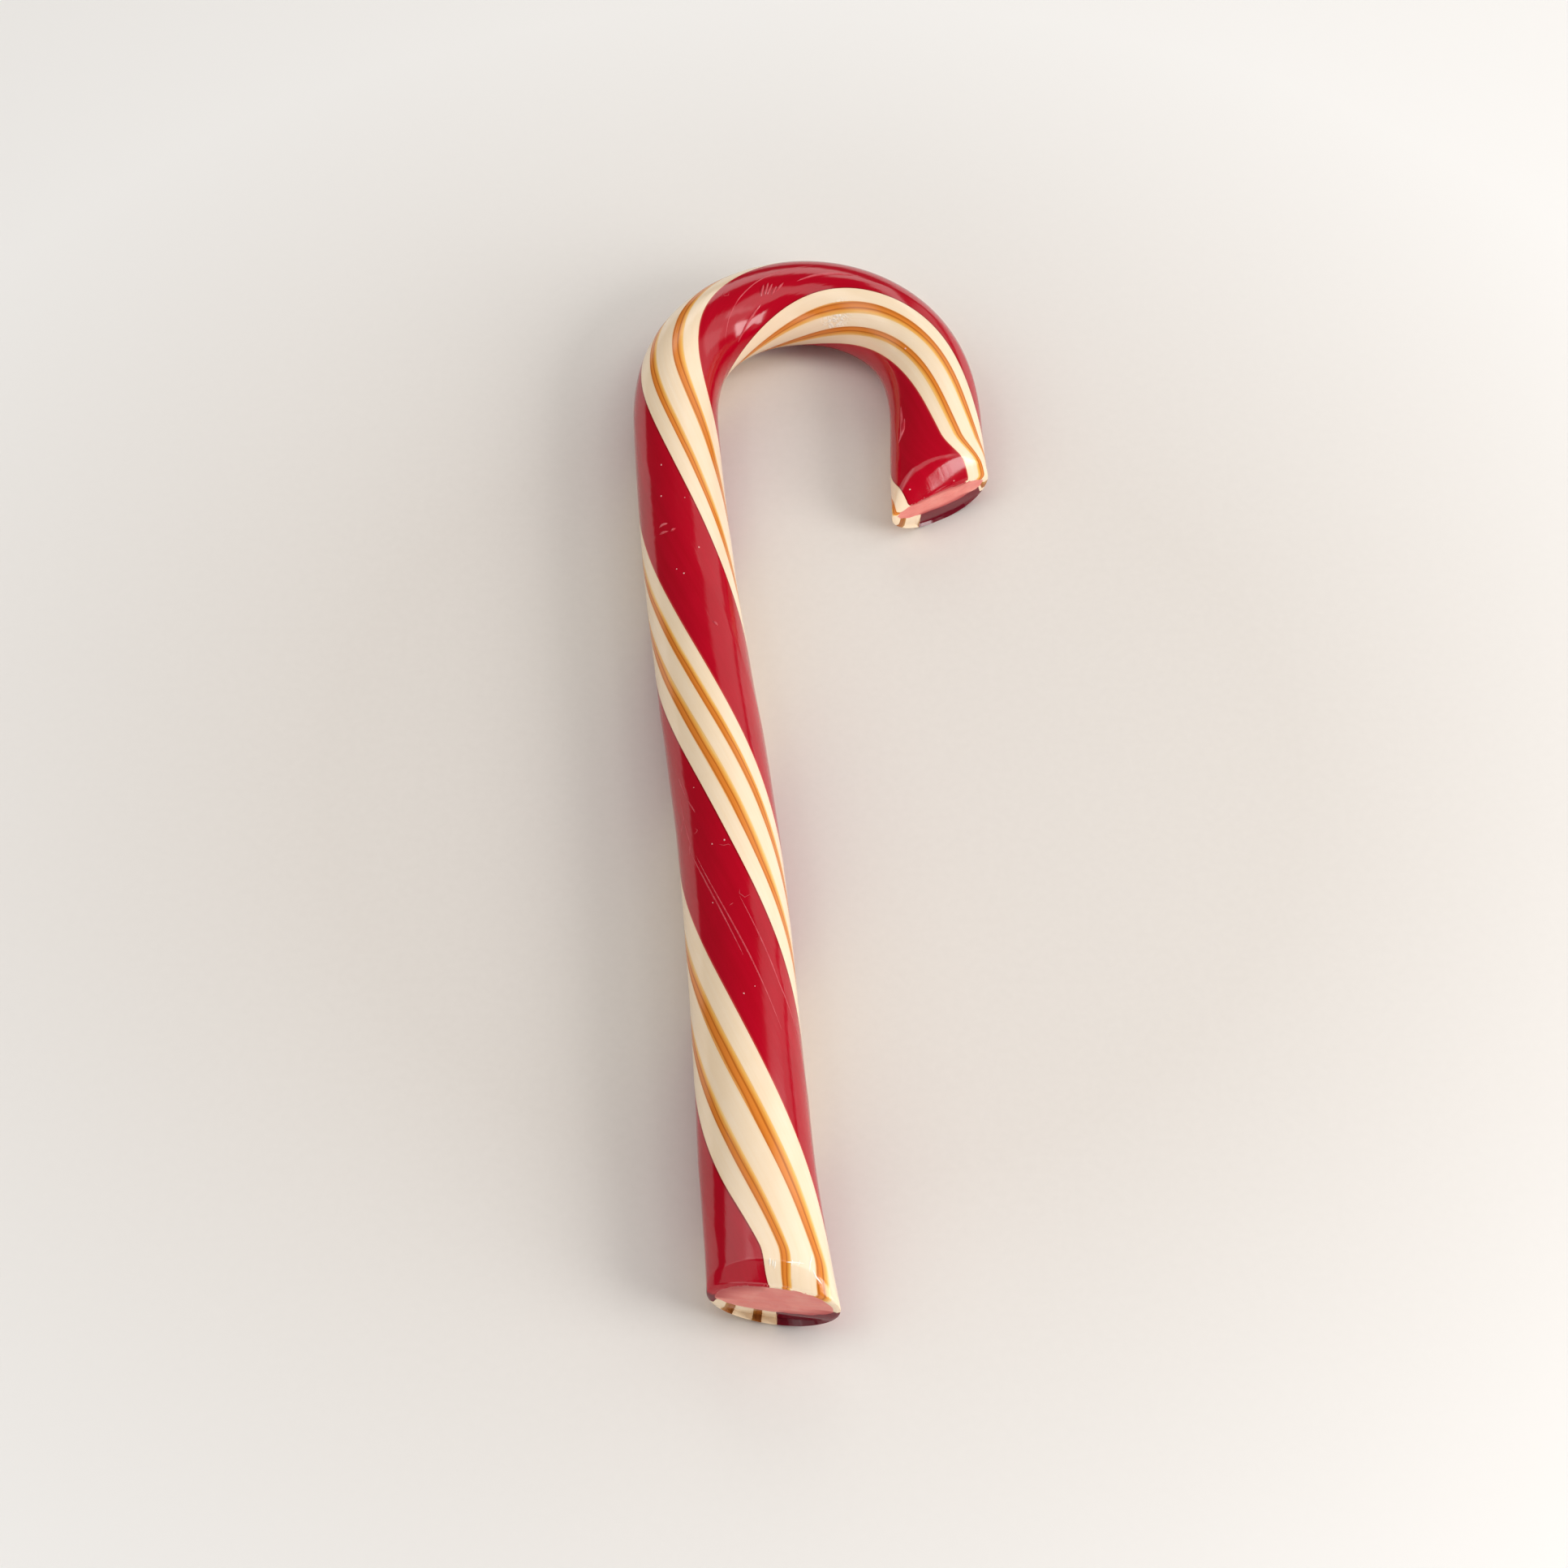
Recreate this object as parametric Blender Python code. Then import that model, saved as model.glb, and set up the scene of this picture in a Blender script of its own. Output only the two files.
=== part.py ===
"""Boiled sugar candy cane, lying on its side on a table.

A pulled pink core runs inside a jacket of red and cream bands. Each cream band holds two amber
threads. The whole rod is twisted, bent into a hook and snipped off while warm, so both of its
ends are pinched. Metres, +Z up, the shaft along Y, the hook towards +Y and opening to +X.
"""

import bmesh
import bpy
from math import ceil, cos, exp, hypot, pi, radians, sin, tan

# Rod, from the foot (the cut end of the shaft) to the tip (the cut end of the hook)
ROD_LENGTH = 0.2083
FOOT_RADIUS = 0.00630
HOOK_RADIUS = 0.00545
TAPER_START = 0.049
TAPER_END = 0.156
HOOK_SWELL = 0.00021
HOOK_SWELL_AT = 0.168
HOOK_SWELL_REACH = 0.012
REST_FLAT_DEPTH = 0.0002

# Centre line: a slightly wavy shaft, then an eased bend, then a tip that opens out again
SHAFT_LEAN = radians(-5.7)
SHAFT_WAVE = radians(1.9)
SHAFT_WAVE_LENGTH = 0.097
SHAFT_WAVE_CREST = 0.037
BEND_RADIUS = 0.0164
BEND_START = 0.127
BEND_EASE = 0.021
BEND_FULL_LENGTH = 0.032
TIP_FLARE = radians(-2.7)
TIP_FLARE_LENGTH = 0.010

# Twist of the stripes, as an angle for each metre of rod. The snips held the foot back and
# wrung the tip on
SHAFT_TWIST = radians(3030)
HOOK_TWIST = radians(3430)
TWIST_CHANGE = 0.146
FOOT_HELD_TURN = radians(9.5)
TIP_WRUNG_TURN = radians(17)
SNIP_REACH = 0.0045

# The pinch drags the stripes near a cut towards the rod's top and underside
FOOT_STRIPE_DRAG = radians(12)
TIP_STRIPE_DRAG = radians(8)
STRIPE_DRAG_REACH = 0.006

# Stripes round the foot, in degrees from the top towards the right of the rod's direction
RED_A = (-100.5, -7.0)
RED_B = (89.5, 176.0)
THREAD_WIDTH = 10.5
THREADS_A = (19.0, 58.0)
THREADS_B = (204.5, 237.5)

# Jacket and core: the core's size is a share of the rod's, seen from the rod's middle
CORE_SHARE = 0.69
CORE_RISE_AT_CUT = 0.20
CORE_SPREAD_AT_CUT = 0.19
GAP = 0.0003

# Pinched ends: spread is how much wider the rod gets, skew is the slant of the cut
PINCH_REACH = 0.018
FOOT_SPREAD = 0.18
TIP_SPREAD = 0.20
FOOT_SKEW = tan(radians(-15.5))
TIP_SKEW = tan(radians(25.5))
SKEW_REACH = 0.014
SHOULDER_LENGTH = 0.0040
FOOT_DROP_ABOVE = 0.0017
FOOT_DROP_BELOW = 0.0018
TIP_DROP_ABOVE = 0.0031
TIP_DROP_BELOW = 0.0003

# Fineness of the solids
SHAFT_STEP = 0.0060
HOOK_STEP = 0.0037
END_STEPS = (0.0, 0.0007, 0.0016, 0.0026, 0.0040, 0.0055, 0.0085)
PATH_STEP = 0.0005
OUTER_STEP_DEGREES = 16
INNER_STEP_DEGREES = 24
CORE_SIDES = 18


def smoothstep(value, low, high):
    """0 below low, 1 above high, and an eased rise between them."""
    share = min(1.0, max(0.0, (value - low) / (high - low)))
    return share * share * (3 - 2 * share)


def bend_rate(along):
    """Curvature of the hook at this distance from the foot, in radians a metre."""
    full_start = BEND_START + BEND_EASE
    full_end = full_start + BEND_FULL_LENGTH
    rise = smoothstep(along, BEND_START, full_start)
    fall = smoothstep(along, full_end, full_end + BEND_EASE)
    return (rise - fall) / BEND_RADIUS


def shaft_heading(along):
    """Direction of the unbent rod, turned from +Y towards +X."""
    wave = SHAFT_WAVE * cos(2 * pi * (along - SHAFT_WAVE_CREST) / SHAFT_WAVE_LENGTH)
    flare = TIP_FLARE * smoothstep(along, ROD_LENGTH - TIP_FLARE_LENGTH, ROD_LENGTH)
    still_straight = 1 - smoothstep(along, BEND_START, BEND_START + BEND_EASE)
    return SHAFT_LEAN + wave * still_straight + flare


def make_centre_line():
    """Points along the rod as (distance, x, y, heading)."""
    count = ceil(ROD_LENGTH / PATH_STEP)
    step = ROD_LENGTH / count
    x = y = bend = 0.0
    line = []
    for index in range(count + 1):
        along = index * step
        heading = shaft_heading(along) + bend
        line.append((along, x, y, heading))
        bend += bend_rate(along + step / 2) * step
        x += sin(heading) * step
        y += cos(heading) * step
    return line


def at(line, along):
    """The centre line's x, y and heading at this distance, between its two nearest points."""
    place = along / ROD_LENGTH * (len(line) - 1)
    index = min(int(place), len(line) - 2)
    share = place - index
    before, after = line[index], line[index + 1]
    return [low + (high - low) * share for low, high in zip(before[1:], after[1:])]


def twist(along):
    """How far the stripes have turned at this distance from the foot."""
    shaft = SHAFT_TWIST * min(along, TWIST_CHANGE)
    hook = HOOK_TWIST * max(0.0, along - TWIST_CHANGE)
    held_at_foot = FOOT_HELD_TURN * smoothstep(along, 0.0, SNIP_REACH)
    wrung_at_tip = TIP_WRUNG_TURN * smoothstep(along, ROD_LENGTH - SNIP_REACH, ROD_LENGTH)
    return shaft + hook - held_at_foot + wrung_at_tip


def stripe_angle(along, angle):
    """Angle from the rod's top of a stripe's line, which is given by its angle round the foot."""
    drag = FOOT_STRIPE_DRAG * exp(-along / STRIPE_DRAG_REACH)
    drag += TIP_STRIPE_DRAG * exp(-(ROD_LENGTH - along) / STRIPE_DRAG_REACH)
    angle -= twist(along)
    return angle - drag * sin(2 * angle)


def section_size(along):
    """Half width, reach above and below the two sides, and height of the sides over the table."""
    from_foot, from_tip = along, ROD_LENGTH - along
    taper = smoothstep(along, TAPER_START, TAPER_END)
    swell = HOOK_SWELL * exp(-(((along - HOOK_SWELL_AT) / HOOK_SWELL_REACH) ** 2))
    radius = FOOT_RADIUS + (HOOK_RADIUS - FOOT_RADIUS) * taper + swell
    spread = 1 + FOOT_SPREAD * exp(-from_foot / PINCH_REACH) + TIP_SPREAD * exp(-from_tip / PINCH_REACH)
    at_foot = max(0.0, 1 - from_foot / SHOULDER_LENGTH) ** 1.5
    at_tip = max(0.0, 1 - from_tip / SHOULDER_LENGTH) ** 1.5
    half_height = radius / spread
    above = half_height - FOOT_DROP_ABOVE * at_foot - TIP_DROP_ABOVE * at_tip
    below = half_height - FOOT_DROP_BELOW * at_foot - TIP_DROP_BELOW * at_tip
    return radius * spread, above, below, half_height - REST_FLAT_DEPTH


def skew(along):
    """Slant of the section: how far a point moves along the rod for each metre to the right."""
    foot = FOOT_SKEW * (1 - smoothstep(along, 0.0, SKEW_REACH))
    tip = TIP_SKEW * smoothstep(along, ROD_LENGTH - SKEW_REACH, ROD_LENGTH)
    return foot + tip


def core_share(along, angle):
    """Size of the core as a share of the rod's: at a cut it rises, and shows wider."""
    end = max(0.0, 1 - min(along, ROD_LENGTH - along) / SHOULDER_LENGTH)
    return CORE_SHARE + end * (CORE_RISE_AT_CUT * cos(angle) + CORE_SPREAD_AT_CUT * sin(angle) ** 2)


def place(line, along, angle, share, shift=0.0, inset=0.0):
    """A point of the rod, at an angle from its top and a share of its size from its middle.

    shift moves the point sideways round the rod and inset moves it inwards, both in metres.
    """
    x, y, heading = at(line, along)
    half_width, above, below, side_height = section_size(along)
    half_height = above if cos(angle) > 0 else below
    pace = hypot(half_width * share * cos(angle), half_height * share * sin(angle))
    angle += shift / pace
    right = half_width * share * sin(angle)
    up = half_height * share * cos(angle)
    size = hypot(right, up)
    right *= 1 - inset / size
    up *= 1 - inset / size
    forward = right * skew(along)
    return (
        x + right * cos(heading) + forward * sin(heading),
        y - right * sin(heading) + forward * cos(heading),
        max(0.0, side_height + up),
    )


def make_stations():
    """Distances from the foot at which the solids have a section."""
    last_end = END_STEPS[-1]
    stations = list(END_STEPS)
    for start, end, step in (
        (last_end, BEND_START, SHAFT_STEP),
        (BEND_START, ROD_LENGTH - last_end, HOOK_STEP),
    ):
        count = ceil((end - start) / step)
        stations += [start + (end - start) * index / count for index in range(1, count + 1)]
    return stations + [ROD_LENGTH - distance for distance in reversed(END_STEPS[:-1])]


def loft(name, rings, other_way=()):
    """A closed mesh through rings of points, with a flat cap on its first and last ring.

    Each four-sided stretch is split from its lower first corner, and on the sides that other_way
    lists from its lower second corner, so that facing sides of two pieces split alike.
    """
    sides = len(rings[0])
    shape = bmesh.new()
    loops = [[shape.verts.new(point) for point in ring] for ring in rings]
    for lower, upper in zip(loops, loops[1:]):
        for index in range(sides):
            following = (index + 1) % sides
            if index in other_way:
                shape.faces.new((lower[index], upper[index], lower[following]))
                shape.faces.new((lower[following], upper[index], upper[following]))
            else:
                shape.faces.new((lower[index], upper[following], lower[following]))
                shape.faces.new((lower[index], upper[index], upper[following]))
    caps = [shape.faces.new(loops[0]), shape.faces.new(reversed(loops[-1]))]
    bmesh.ops.triangulate(shape, faces=caps)
    bmesh.ops.recalc_face_normals(shape, faces=shape.faces)
    mesh = bpy.data.meshes.new(name)
    shape.to_mesh(mesh)
    shape.free()
    return mesh


def steps_between(start, end, step_degrees):
    """Angles in radians from start to end, given in degrees, at most a step apart."""
    count = max(1, ceil((end - start) / step_degrees))
    return [radians(start + (end - start) * index / count) for index in range(count + 1)]


def make_band(name, line, stations, start, end):
    """One stripe of the jacket: a sector of the section, swept along the twisted rod."""
    outer = steps_between(start, end, OUTER_STEP_DEGREES)
    inner = steps_between(start, end, INNER_STEP_DEGREES)
    rings = []
    for along in stations:
        ring = []
        for angles, on_core in ((outer, False), (inner[::-1], True)):
            for index, angle in enumerate(angles):
                angle = stripe_angle(along, angle)
                share = core_share(along, angle) if on_core else 1.0
                side = {0: 1, len(angles) - 1: -1}.get(index, 0) * (-1 if on_core else 1)
                ring.append(place(line, along, angle, share, side * GAP / 2))
        rings.append(ring)
    return loft(name, rings, other_way=range(len(outer) - 1, len(rings[0]) - 1))


def make_core(name, line, stations):
    """The pink core, a gap inside the jacket all round."""
    rings = []
    for along in stations:
        angles = [2 * pi * index / CORE_SIDES for index in range(CORE_SIDES)]
        rings.append([place(line, along, angle, core_share(along, angle), inset=GAP) for angle in angles])
    return loft(name, rings)


def make_material(name, colour, roughness, coat):
    material = bpy.data.materials.new(name)
    material.use_nodes = True
    shader = material.node_tree.nodes["Principled BSDF"]
    shader.inputs["Base Color"].default_value = (*colour, 1.0)
    shader.inputs["Roughness"].default_value = roughness
    shader.inputs["Metallic"].default_value = 0.0
    shader.inputs["Coat Weight"].default_value = coat
    return material


def stripe_list():
    """Every stripe of the jacket as (name, material, start, end), in degrees round the foot."""
    half = THREAD_WIDTH / 2
    stripes = [("red_band_a", "red_candy", *RED_A), ("red_band_b", "red_candy", *RED_B)]
    for letter, threads, start, end in (
        ("a", THREADS_A, RED_A[1], RED_B[0]),
        ("b", THREADS_B, RED_B[1], RED_A[0] + 360),
    ):
        for number, middle in enumerate(threads, 1):
            stripes.append((f"cream_strip_{letter}{number}", "cream_candy", start, middle - half))
            stripes.append((f"amber_thread_{letter}{number}", "amber_candy", middle - half, middle + half))
            start = middle + half
        stripes.append((f"cream_strip_{letter}{len(threads) + 1}", "cream_candy", start, end))
    return stripes


def centre_on_origin(meshes):
    """Moves the meshes so that the middle of the space they fill is over the origin."""
    for axis in (0, 1):
        values = [vertex.co[axis] for mesh in meshes for vertex in mesh.vertices]
        middle = (min(values) + max(values)) / 2
        for mesh in meshes:
            for vertex in mesh.vertices:
                vertex.co[axis] -= middle


def main():
    for old in list(bpy.data.objects):
        bpy.data.objects.remove(old)
    collection = bpy.data.collections.new("candy_cane")
    bpy.context.scene.collection.children.link(collection)
    materials = {
        "red_candy": make_material("red_candy", (0.29, 0.0, 0.010), 0.15, 0.6),
        "cream_candy": make_material("cream_candy", (0.90, 0.74, 0.52), 0.18, 0.6),
        "amber_candy": make_material("amber_candy", (0.62, 0.22, 0.04), 0.15, 0.6),
        "pink_core": make_material("pink_core", (0.66, 0.21, 0.19), 0.35, 0.2),
    }
    line = make_centre_line()
    stations = make_stations()
    pieces = [("pulled_core", "pink_core", make_core("pulled_core", line, stations))]
    for name, material, start, end in stripe_list():
        pieces.append((name, material, make_band(name, line, stations, start, end)))
    centre_on_origin([mesh for _, _, mesh in pieces])
    for name, material, mesh in pieces:
        mesh.materials.append(materials[material])
        mesh.shade_smooth()
        mesh.set_sharp_from_angle(angle=radians(40))
        collection.objects.link(bpy.data.objects.new(name, mesh))


main()
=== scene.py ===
"""Looks of the boiled sugar candy cane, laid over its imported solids.

Each stripe of the jacket is a thin slab that starts flat and is wrapped round the twisted, bent
rod. The pulled core is a block that fills what they leave. Metres, +Z up, the shaft along Y.
"""

from collections import namedtuple
from math import atan2, ceil, cos, exp, hypot, pi, radians, sin, sqrt, tan

import bmesh
import bpy
from mathutils import Matrix, Vector, noise


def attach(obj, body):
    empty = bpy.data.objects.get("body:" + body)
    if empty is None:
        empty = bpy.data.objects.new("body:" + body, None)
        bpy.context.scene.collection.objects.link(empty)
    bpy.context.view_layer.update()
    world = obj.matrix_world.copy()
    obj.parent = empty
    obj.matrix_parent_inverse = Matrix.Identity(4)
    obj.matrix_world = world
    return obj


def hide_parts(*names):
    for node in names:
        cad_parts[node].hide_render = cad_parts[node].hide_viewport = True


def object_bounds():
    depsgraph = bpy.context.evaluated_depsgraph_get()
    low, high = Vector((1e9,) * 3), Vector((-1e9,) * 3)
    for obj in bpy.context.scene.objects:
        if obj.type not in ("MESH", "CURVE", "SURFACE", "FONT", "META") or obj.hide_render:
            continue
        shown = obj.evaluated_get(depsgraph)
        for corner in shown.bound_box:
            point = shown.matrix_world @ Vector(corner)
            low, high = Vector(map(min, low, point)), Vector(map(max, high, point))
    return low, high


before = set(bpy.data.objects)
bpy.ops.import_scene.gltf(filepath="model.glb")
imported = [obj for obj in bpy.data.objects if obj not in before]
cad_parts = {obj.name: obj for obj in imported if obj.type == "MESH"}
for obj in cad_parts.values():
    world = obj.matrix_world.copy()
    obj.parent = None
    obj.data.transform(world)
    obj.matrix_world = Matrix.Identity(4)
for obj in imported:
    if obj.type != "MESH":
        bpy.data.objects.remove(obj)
CAD_LOW, CAD_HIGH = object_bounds()

MM = 0.001

# Rod, from the foot (the cut end of the shaft) to the tip (the cut end of the hook)
ROD_LENGTH = 0.2083
FOOT_RADIUS = 0.00630
HOOK_RADIUS = 0.00545
TAPER_START = 0.049
TAPER_END = 0.156
HOOK_SWELL = 0.00021
HOOK_SWELL_AT = 0.168
HOOK_SWELL_REACH = 0.012
REST_FLAT_DEPTH = 0.0002

# Centre line: a slightly wavy shaft, then an eased bend, then a tip that opens out again
SHAFT_LEAN = radians(-5.7)
SHAFT_WAVE = radians(1.9)
SHAFT_WAVE_LENGTH = 0.097
SHAFT_WAVE_CREST = 0.037
BEND_RADIUS = 0.0164
BEND_START = 0.127
BEND_EASE = 0.021
BEND_FULL_LENGTH = 0.032
TIP_FLARE = radians(-2.7)
TIP_FLARE_LENGTH = 0.010
PATH_STEP = 0.0001

# Twist of the stripes, as an angle for each metre of rod. The snips held the foot back and
# wrung the tip on
SHAFT_TWIST = radians(3030)
HOOK_TWIST = radians(3430)
TWIST_CHANGE = 0.146
FOOT_HELD_TURN = radians(9.5)
TIP_WRUNG_TURN = radians(17)
FOOT_SNIP_REACH = 0.0045
TIP_SNIP_REACH = 0.0068
UNEVEN_TURN = radians(4)
UNEVEN_TURN_AT = 0.057
UNEVEN_TURN_REACH = 0.012

# Stripes round the foot, in degrees from the top towards the right of the rod's direction
# Hand-drawn edges wander: (edge in degrees, distance from the foot, sideways degrees, reach)
EDGE_DRIFTS = (
    (-7.0, 0.018, -2.3, 0.008),
    (52.0, 0.034, -2.0, 0.012),
    (52.0, 0.144, -2.2, 0.008),
    (64.0, 0.012, 4.5, 0.020),
    (64.0, 0.131, 4.5, 0.012),
    (89.5, 0.010, 5.0, 0.012),
    (89.5, 0.042, -1.7, 0.012),
    (89.5, 0.130, 5.0, 0.009),
    (89.5, 0.152, -5.5, 0.008),
    (176.0, 0.169, -4.0, 0.009),
    (176.0, 0.192, 5.0, 0.008),
    (176.0, 0.2083, 17.0, 0.005),
    (198.5, 0.070, -3.5, 0.020),
    (198.5, 0.172, -6.0, 0.010),
    (210.5, 0.075, -1.5, 0.015),
    (231.5, 0.079, -3.5, 0.016),
    (231.5, 0.174, -1.5, 0.008),
    (243.5, 0.080, -4.2, 0.020),
    (259.5, 0.082, -4.0, 0.018),
    (259.5, 0.186, 4.0, 0.008),
)
RED_A = (-100.5, -7.0)
RED_B = (89.5, 176.0)
THREAD_WIDTH = 12.0
THREADS_A = (19.0, 58.0)
THREADS_B = (204.5, 237.5)

# Jacket and core: the core's size is a share of the rod's, seen from the rod's middle
CORE_SHARE = 0.69
CORE_TOP_AT_CUT = 0.985
CORE_BOTTOM_AT_CUT = 0.36
CORE_SIDE_AT_CUT = 0.87
CORE_EDGE_WANDER = 0.04

# Pinched ends: spread is how much wider the rod gets, skew is the slant of the cut
PINCH_REACH = 0.018
FOOT_SPREAD = 0.18
TIP_SPREAD = 0.20
FOOT_SKEW = tan(radians(-15.5))
TIP_SKEW = tan(radians(25.5))
SKEW_REACH = 0.014
SHOULDER_LENGTH = 0.0040
FOOT_FACET_LENGTH = 0.0021
TIP_FACET_LENGTH = 0.0029
TIP_FACET_TILT = 0.35
FOOT_FACET_CURVE = 1.12
TIP_FACET_CURVE = 1.55
FOOT_DROP_ABOVE = 0.0017
FOOT_DROP_BELOW = 0.0006
TIP_DROP_ABOVE = 0.0031
TIP_DROP_BELOW = 0.0
FOOT_UNDERCUT = 0.0009
TIP_UNDERCUT = 0.0005
FOOT_STRIPE_DRAG = radians(12)
TIP_STRIPE_DRAG = radians(8)
STRIPE_DRAG_REACH = 0.006
RIM_ROUNDING = 0.00035
LIP_LENGTH = 0.0006

# Relief of the skin: ridges that turn with the stripes, ripples from the bending, soft dents
RIDGES = ((156.0, 10.0), (50.0, 14.0), (316.0, 12.0))
RIDGE_HEIGHT = 0.00007
DENT_SIZE = 0.009
DENT_DEPTH = 0.00005
RIPPLES_AT = 0.116
RIPPLES_REACH = 0.008
RIPPLES_SIDE = -38.0
RIPPLE_PITCH = 0.00105
RIPPLE_HEIGHT = 0.000034

# Marks on the skin: each is a path of places, as (distance from the foot in mm, stripe degrees)
PULLED_SEAMS = (
    ((59.4, 131.0), (33.3, 130.0)),
    ((51.7, 153.0), (40.0, 152.0), (32.7, 158.7)),
    ((60.7, 126.0), (55.7, 126.8), (51.1, 126.2), (43.2, 123.7)),
    ((148.3, 131.3), (151.5, 123.4), (154.7, 118.9), (158.4, 116.6), (161.3, 117.7), (166.0, 122.0)),
    ((72.4, 153.1), (68.5, 151.6)),
    ((68.0, 152.1), (65.6, 153.8)),
    ((69.4, 142.7), (66.1, 135.5), (64.5, 122.0)),
    ((65.4, 134.2), (61.8, 130.3), (60.2, 122.7)),
)
BENDING_FOLDS = (
    ((157.7, 147.9), (155.8, 150.2), (153.9, 151.6), (150.6, 155.2)),
    ((159.2, 127.0), (158.1, 139.6)),
    ((159.9, 128.5), (158.8, 141.4)),
    ((160.4, 133.0), (159.2, 142.8)),
    ((160.9, 140.1), (159.8, 147.2)),
    ((162.0, 139.9), (160.5, 146.8)),
    ((163.9, 146.3), (165.9, 144.9), (168.6, 145.6), (171.2, 147.9)),
    ((111.8, 293.0), (112.0, 299.0), (111.9, 306.0)),
    ((110.7, 289.0), (110.7, 296.0), (110.6, 302.0)),
    ((110.4, 304.5), (110.7, 312.0)),
    ((94.8, 294.0), (94.1, 297.9)),
    ((195.3, 293.6), (197.3, 299.2), (199.7, 309.3), (200.4, 316.5)),
    ((200.2, 315.0), (199.0, 302.0), (197.5, 295.3)),
)
FINE_HAIRS = (
    ((63.5, 144.6), (62.9, 146.5), (62.7, 144.0), (62.7, 139.8)),
    ((59.7, 160.7), (59.4, 165.4), (59.5, 170.5), (59.2, 172.6)),
    ((52.7, 157.2), (52.1, 154.1), (51.5, 157.7), (52.0, 165.7)),
    ((153.9, 90.8), (153.5, 98.8), (154.0, 102.9), (154.5, 100.2)),
    ((50.5, 136.9), (50.8, 142.6)),
)
# Ridges at the foot's snip. Their near-white colour is a painted highlight of the glints on them.
CUT_GLINTS = (
    ((2.7, 0.8), (1.8, 359.7)),
    ((2.5, 4.4), (1.8, 3.3)),
    ((2.5, 7.4), (1.6, 5.1)),
    ((2.4, 20.0), (2.6, 29.0), (2.8, 39.8)),
    ((2.9, 27.2), (2.1, 25.5)),
    ((3.1, 35.1), (2.2, 32.7)),
    ((4.3, 50.3), (3.1, 45.9), (2.0, 45.0)),
    ((2.5, 48.2), (1.8, 51.3), (1.3, 57.8)),
)
AIR_SPECKS = (
    (69.4, 166.1),
    (60.0, 154.3),
    (60.2, 168.9),
    (51.5, 122.3),
    (122.1, 335.1),
    (115.7, 342.9),
    (116.8, 315.7),
    (107.2, 328.0),
    (104.0, 286.9),
    (103.0, 292.3),
    (38.8, 119.4),
    (37.8, 104.1),
    (185.7, 236.2),
    (207.9, 280.6),
    (206.9, 342.3),
)

CUT_STEP_HEIGHT = 0.00007
# A grainy patch on the cream, at (stripe degrees, mm from the foot), with its reach in mm: real bumps, plus a painted
# highlight that whitens its colour.
FROST_AND_HIGHLIGHT_AT = (218.0, 171.0)
FROST_AND_HIGHLIGHT_REACH = 3.2
RIDGE_SIDES = 8
RIDGE_STEP = 0.35
SEAM_WIDTH = 0.00016
SEAM_HEIGHT = 0.000028
FOLD_WIDTH = 0.00034
FOLD_HEIGHT = 0.00018
GLINT_WIDTH = 0.00020
GLINT_HEIGHT = 0.00006
HAIR_WIDTH = 0.00008
HAIR_HEIGHT = 0.00004
SPECK_RADIUS = 0.00014

# Fineness of the skin
ALONG_STEP = 0.00032
ACROSS_DEGREES = 3.0
DEPTH_LAYERS = 4
CORE_GRID = 26
CORE_LENGTHS = 260
END_FINENESS = 0.55


def smoothstep(value, low, high):
    """0 below low, 1 above high, and an eased rise between them."""
    share = min(1.0, max(0.0, (value - low) / (high - low)))
    return share * share * (3 - 2 * share)


def hump(value, middle, reach):
    """1 at the middle, falling off smoothly over the reach on both sides."""
    return exp(-(((value - middle) / reach) ** 2))


def bend_rate(along):
    """Curvature of the hook at this distance from the foot, in radians a metre."""
    full_start = BEND_START + BEND_EASE
    full_end = full_start + BEND_FULL_LENGTH
    rise = smoothstep(along, BEND_START, full_start)
    fall = smoothstep(along, full_end, full_end + BEND_EASE)
    return (rise - fall) / BEND_RADIUS


def shaft_heading(along):
    """Direction of the unbent rod, turned from +Y towards +X."""
    wave = SHAFT_WAVE * cos(2 * pi * (along - SHAFT_WAVE_CREST) / SHAFT_WAVE_LENGTH)
    flare = TIP_FLARE * smoothstep(along, ROD_LENGTH - TIP_FLARE_LENGTH, ROD_LENGTH)
    still_straight = 1 - smoothstep(along, BEND_START, BEND_START + BEND_EASE)
    return SHAFT_LEAN + wave * still_straight + flare


def make_centre_line():
    """Points along the rod as (x, y, heading), the foot at the origin."""
    count = ceil(ROD_LENGTH / PATH_STEP)
    step = ROD_LENGTH / count
    x = y = bend = 0.0
    line = []
    for index in range(count + 1):
        along = index * step
        heading = shaft_heading(along) + bend
        line.append((x, y, heading))
        bend += bend_rate(along + step / 2) * step
        x += sin(heading) * step
        y += cos(heading) * step
    return line


def twist(along):
    """How far the stripes have turned at this distance from the foot."""
    shaft = SHAFT_TWIST * min(along, TWIST_CHANGE)
    hook = HOOK_TWIST * max(0.0, along - TWIST_CHANGE)
    held_at_foot = FOOT_HELD_TURN * smoothstep(along, 0.0, FOOT_SNIP_REACH)
    wrung_at_tip = TIP_WRUNG_TURN * smoothstep(along, ROD_LENGTH - TIP_SNIP_REACH, ROD_LENGTH)
    uneven = UNEVEN_TURN * hump(along, UNEVEN_TURN_AT, UNEVEN_TURN_REACH)
    return shaft + hook - held_at_foot + wrung_at_tip + uneven


Section = namedtuple(
    "Section", "along x y heading turn half_width half_height side_height skew shoulder drag"
)


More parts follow.
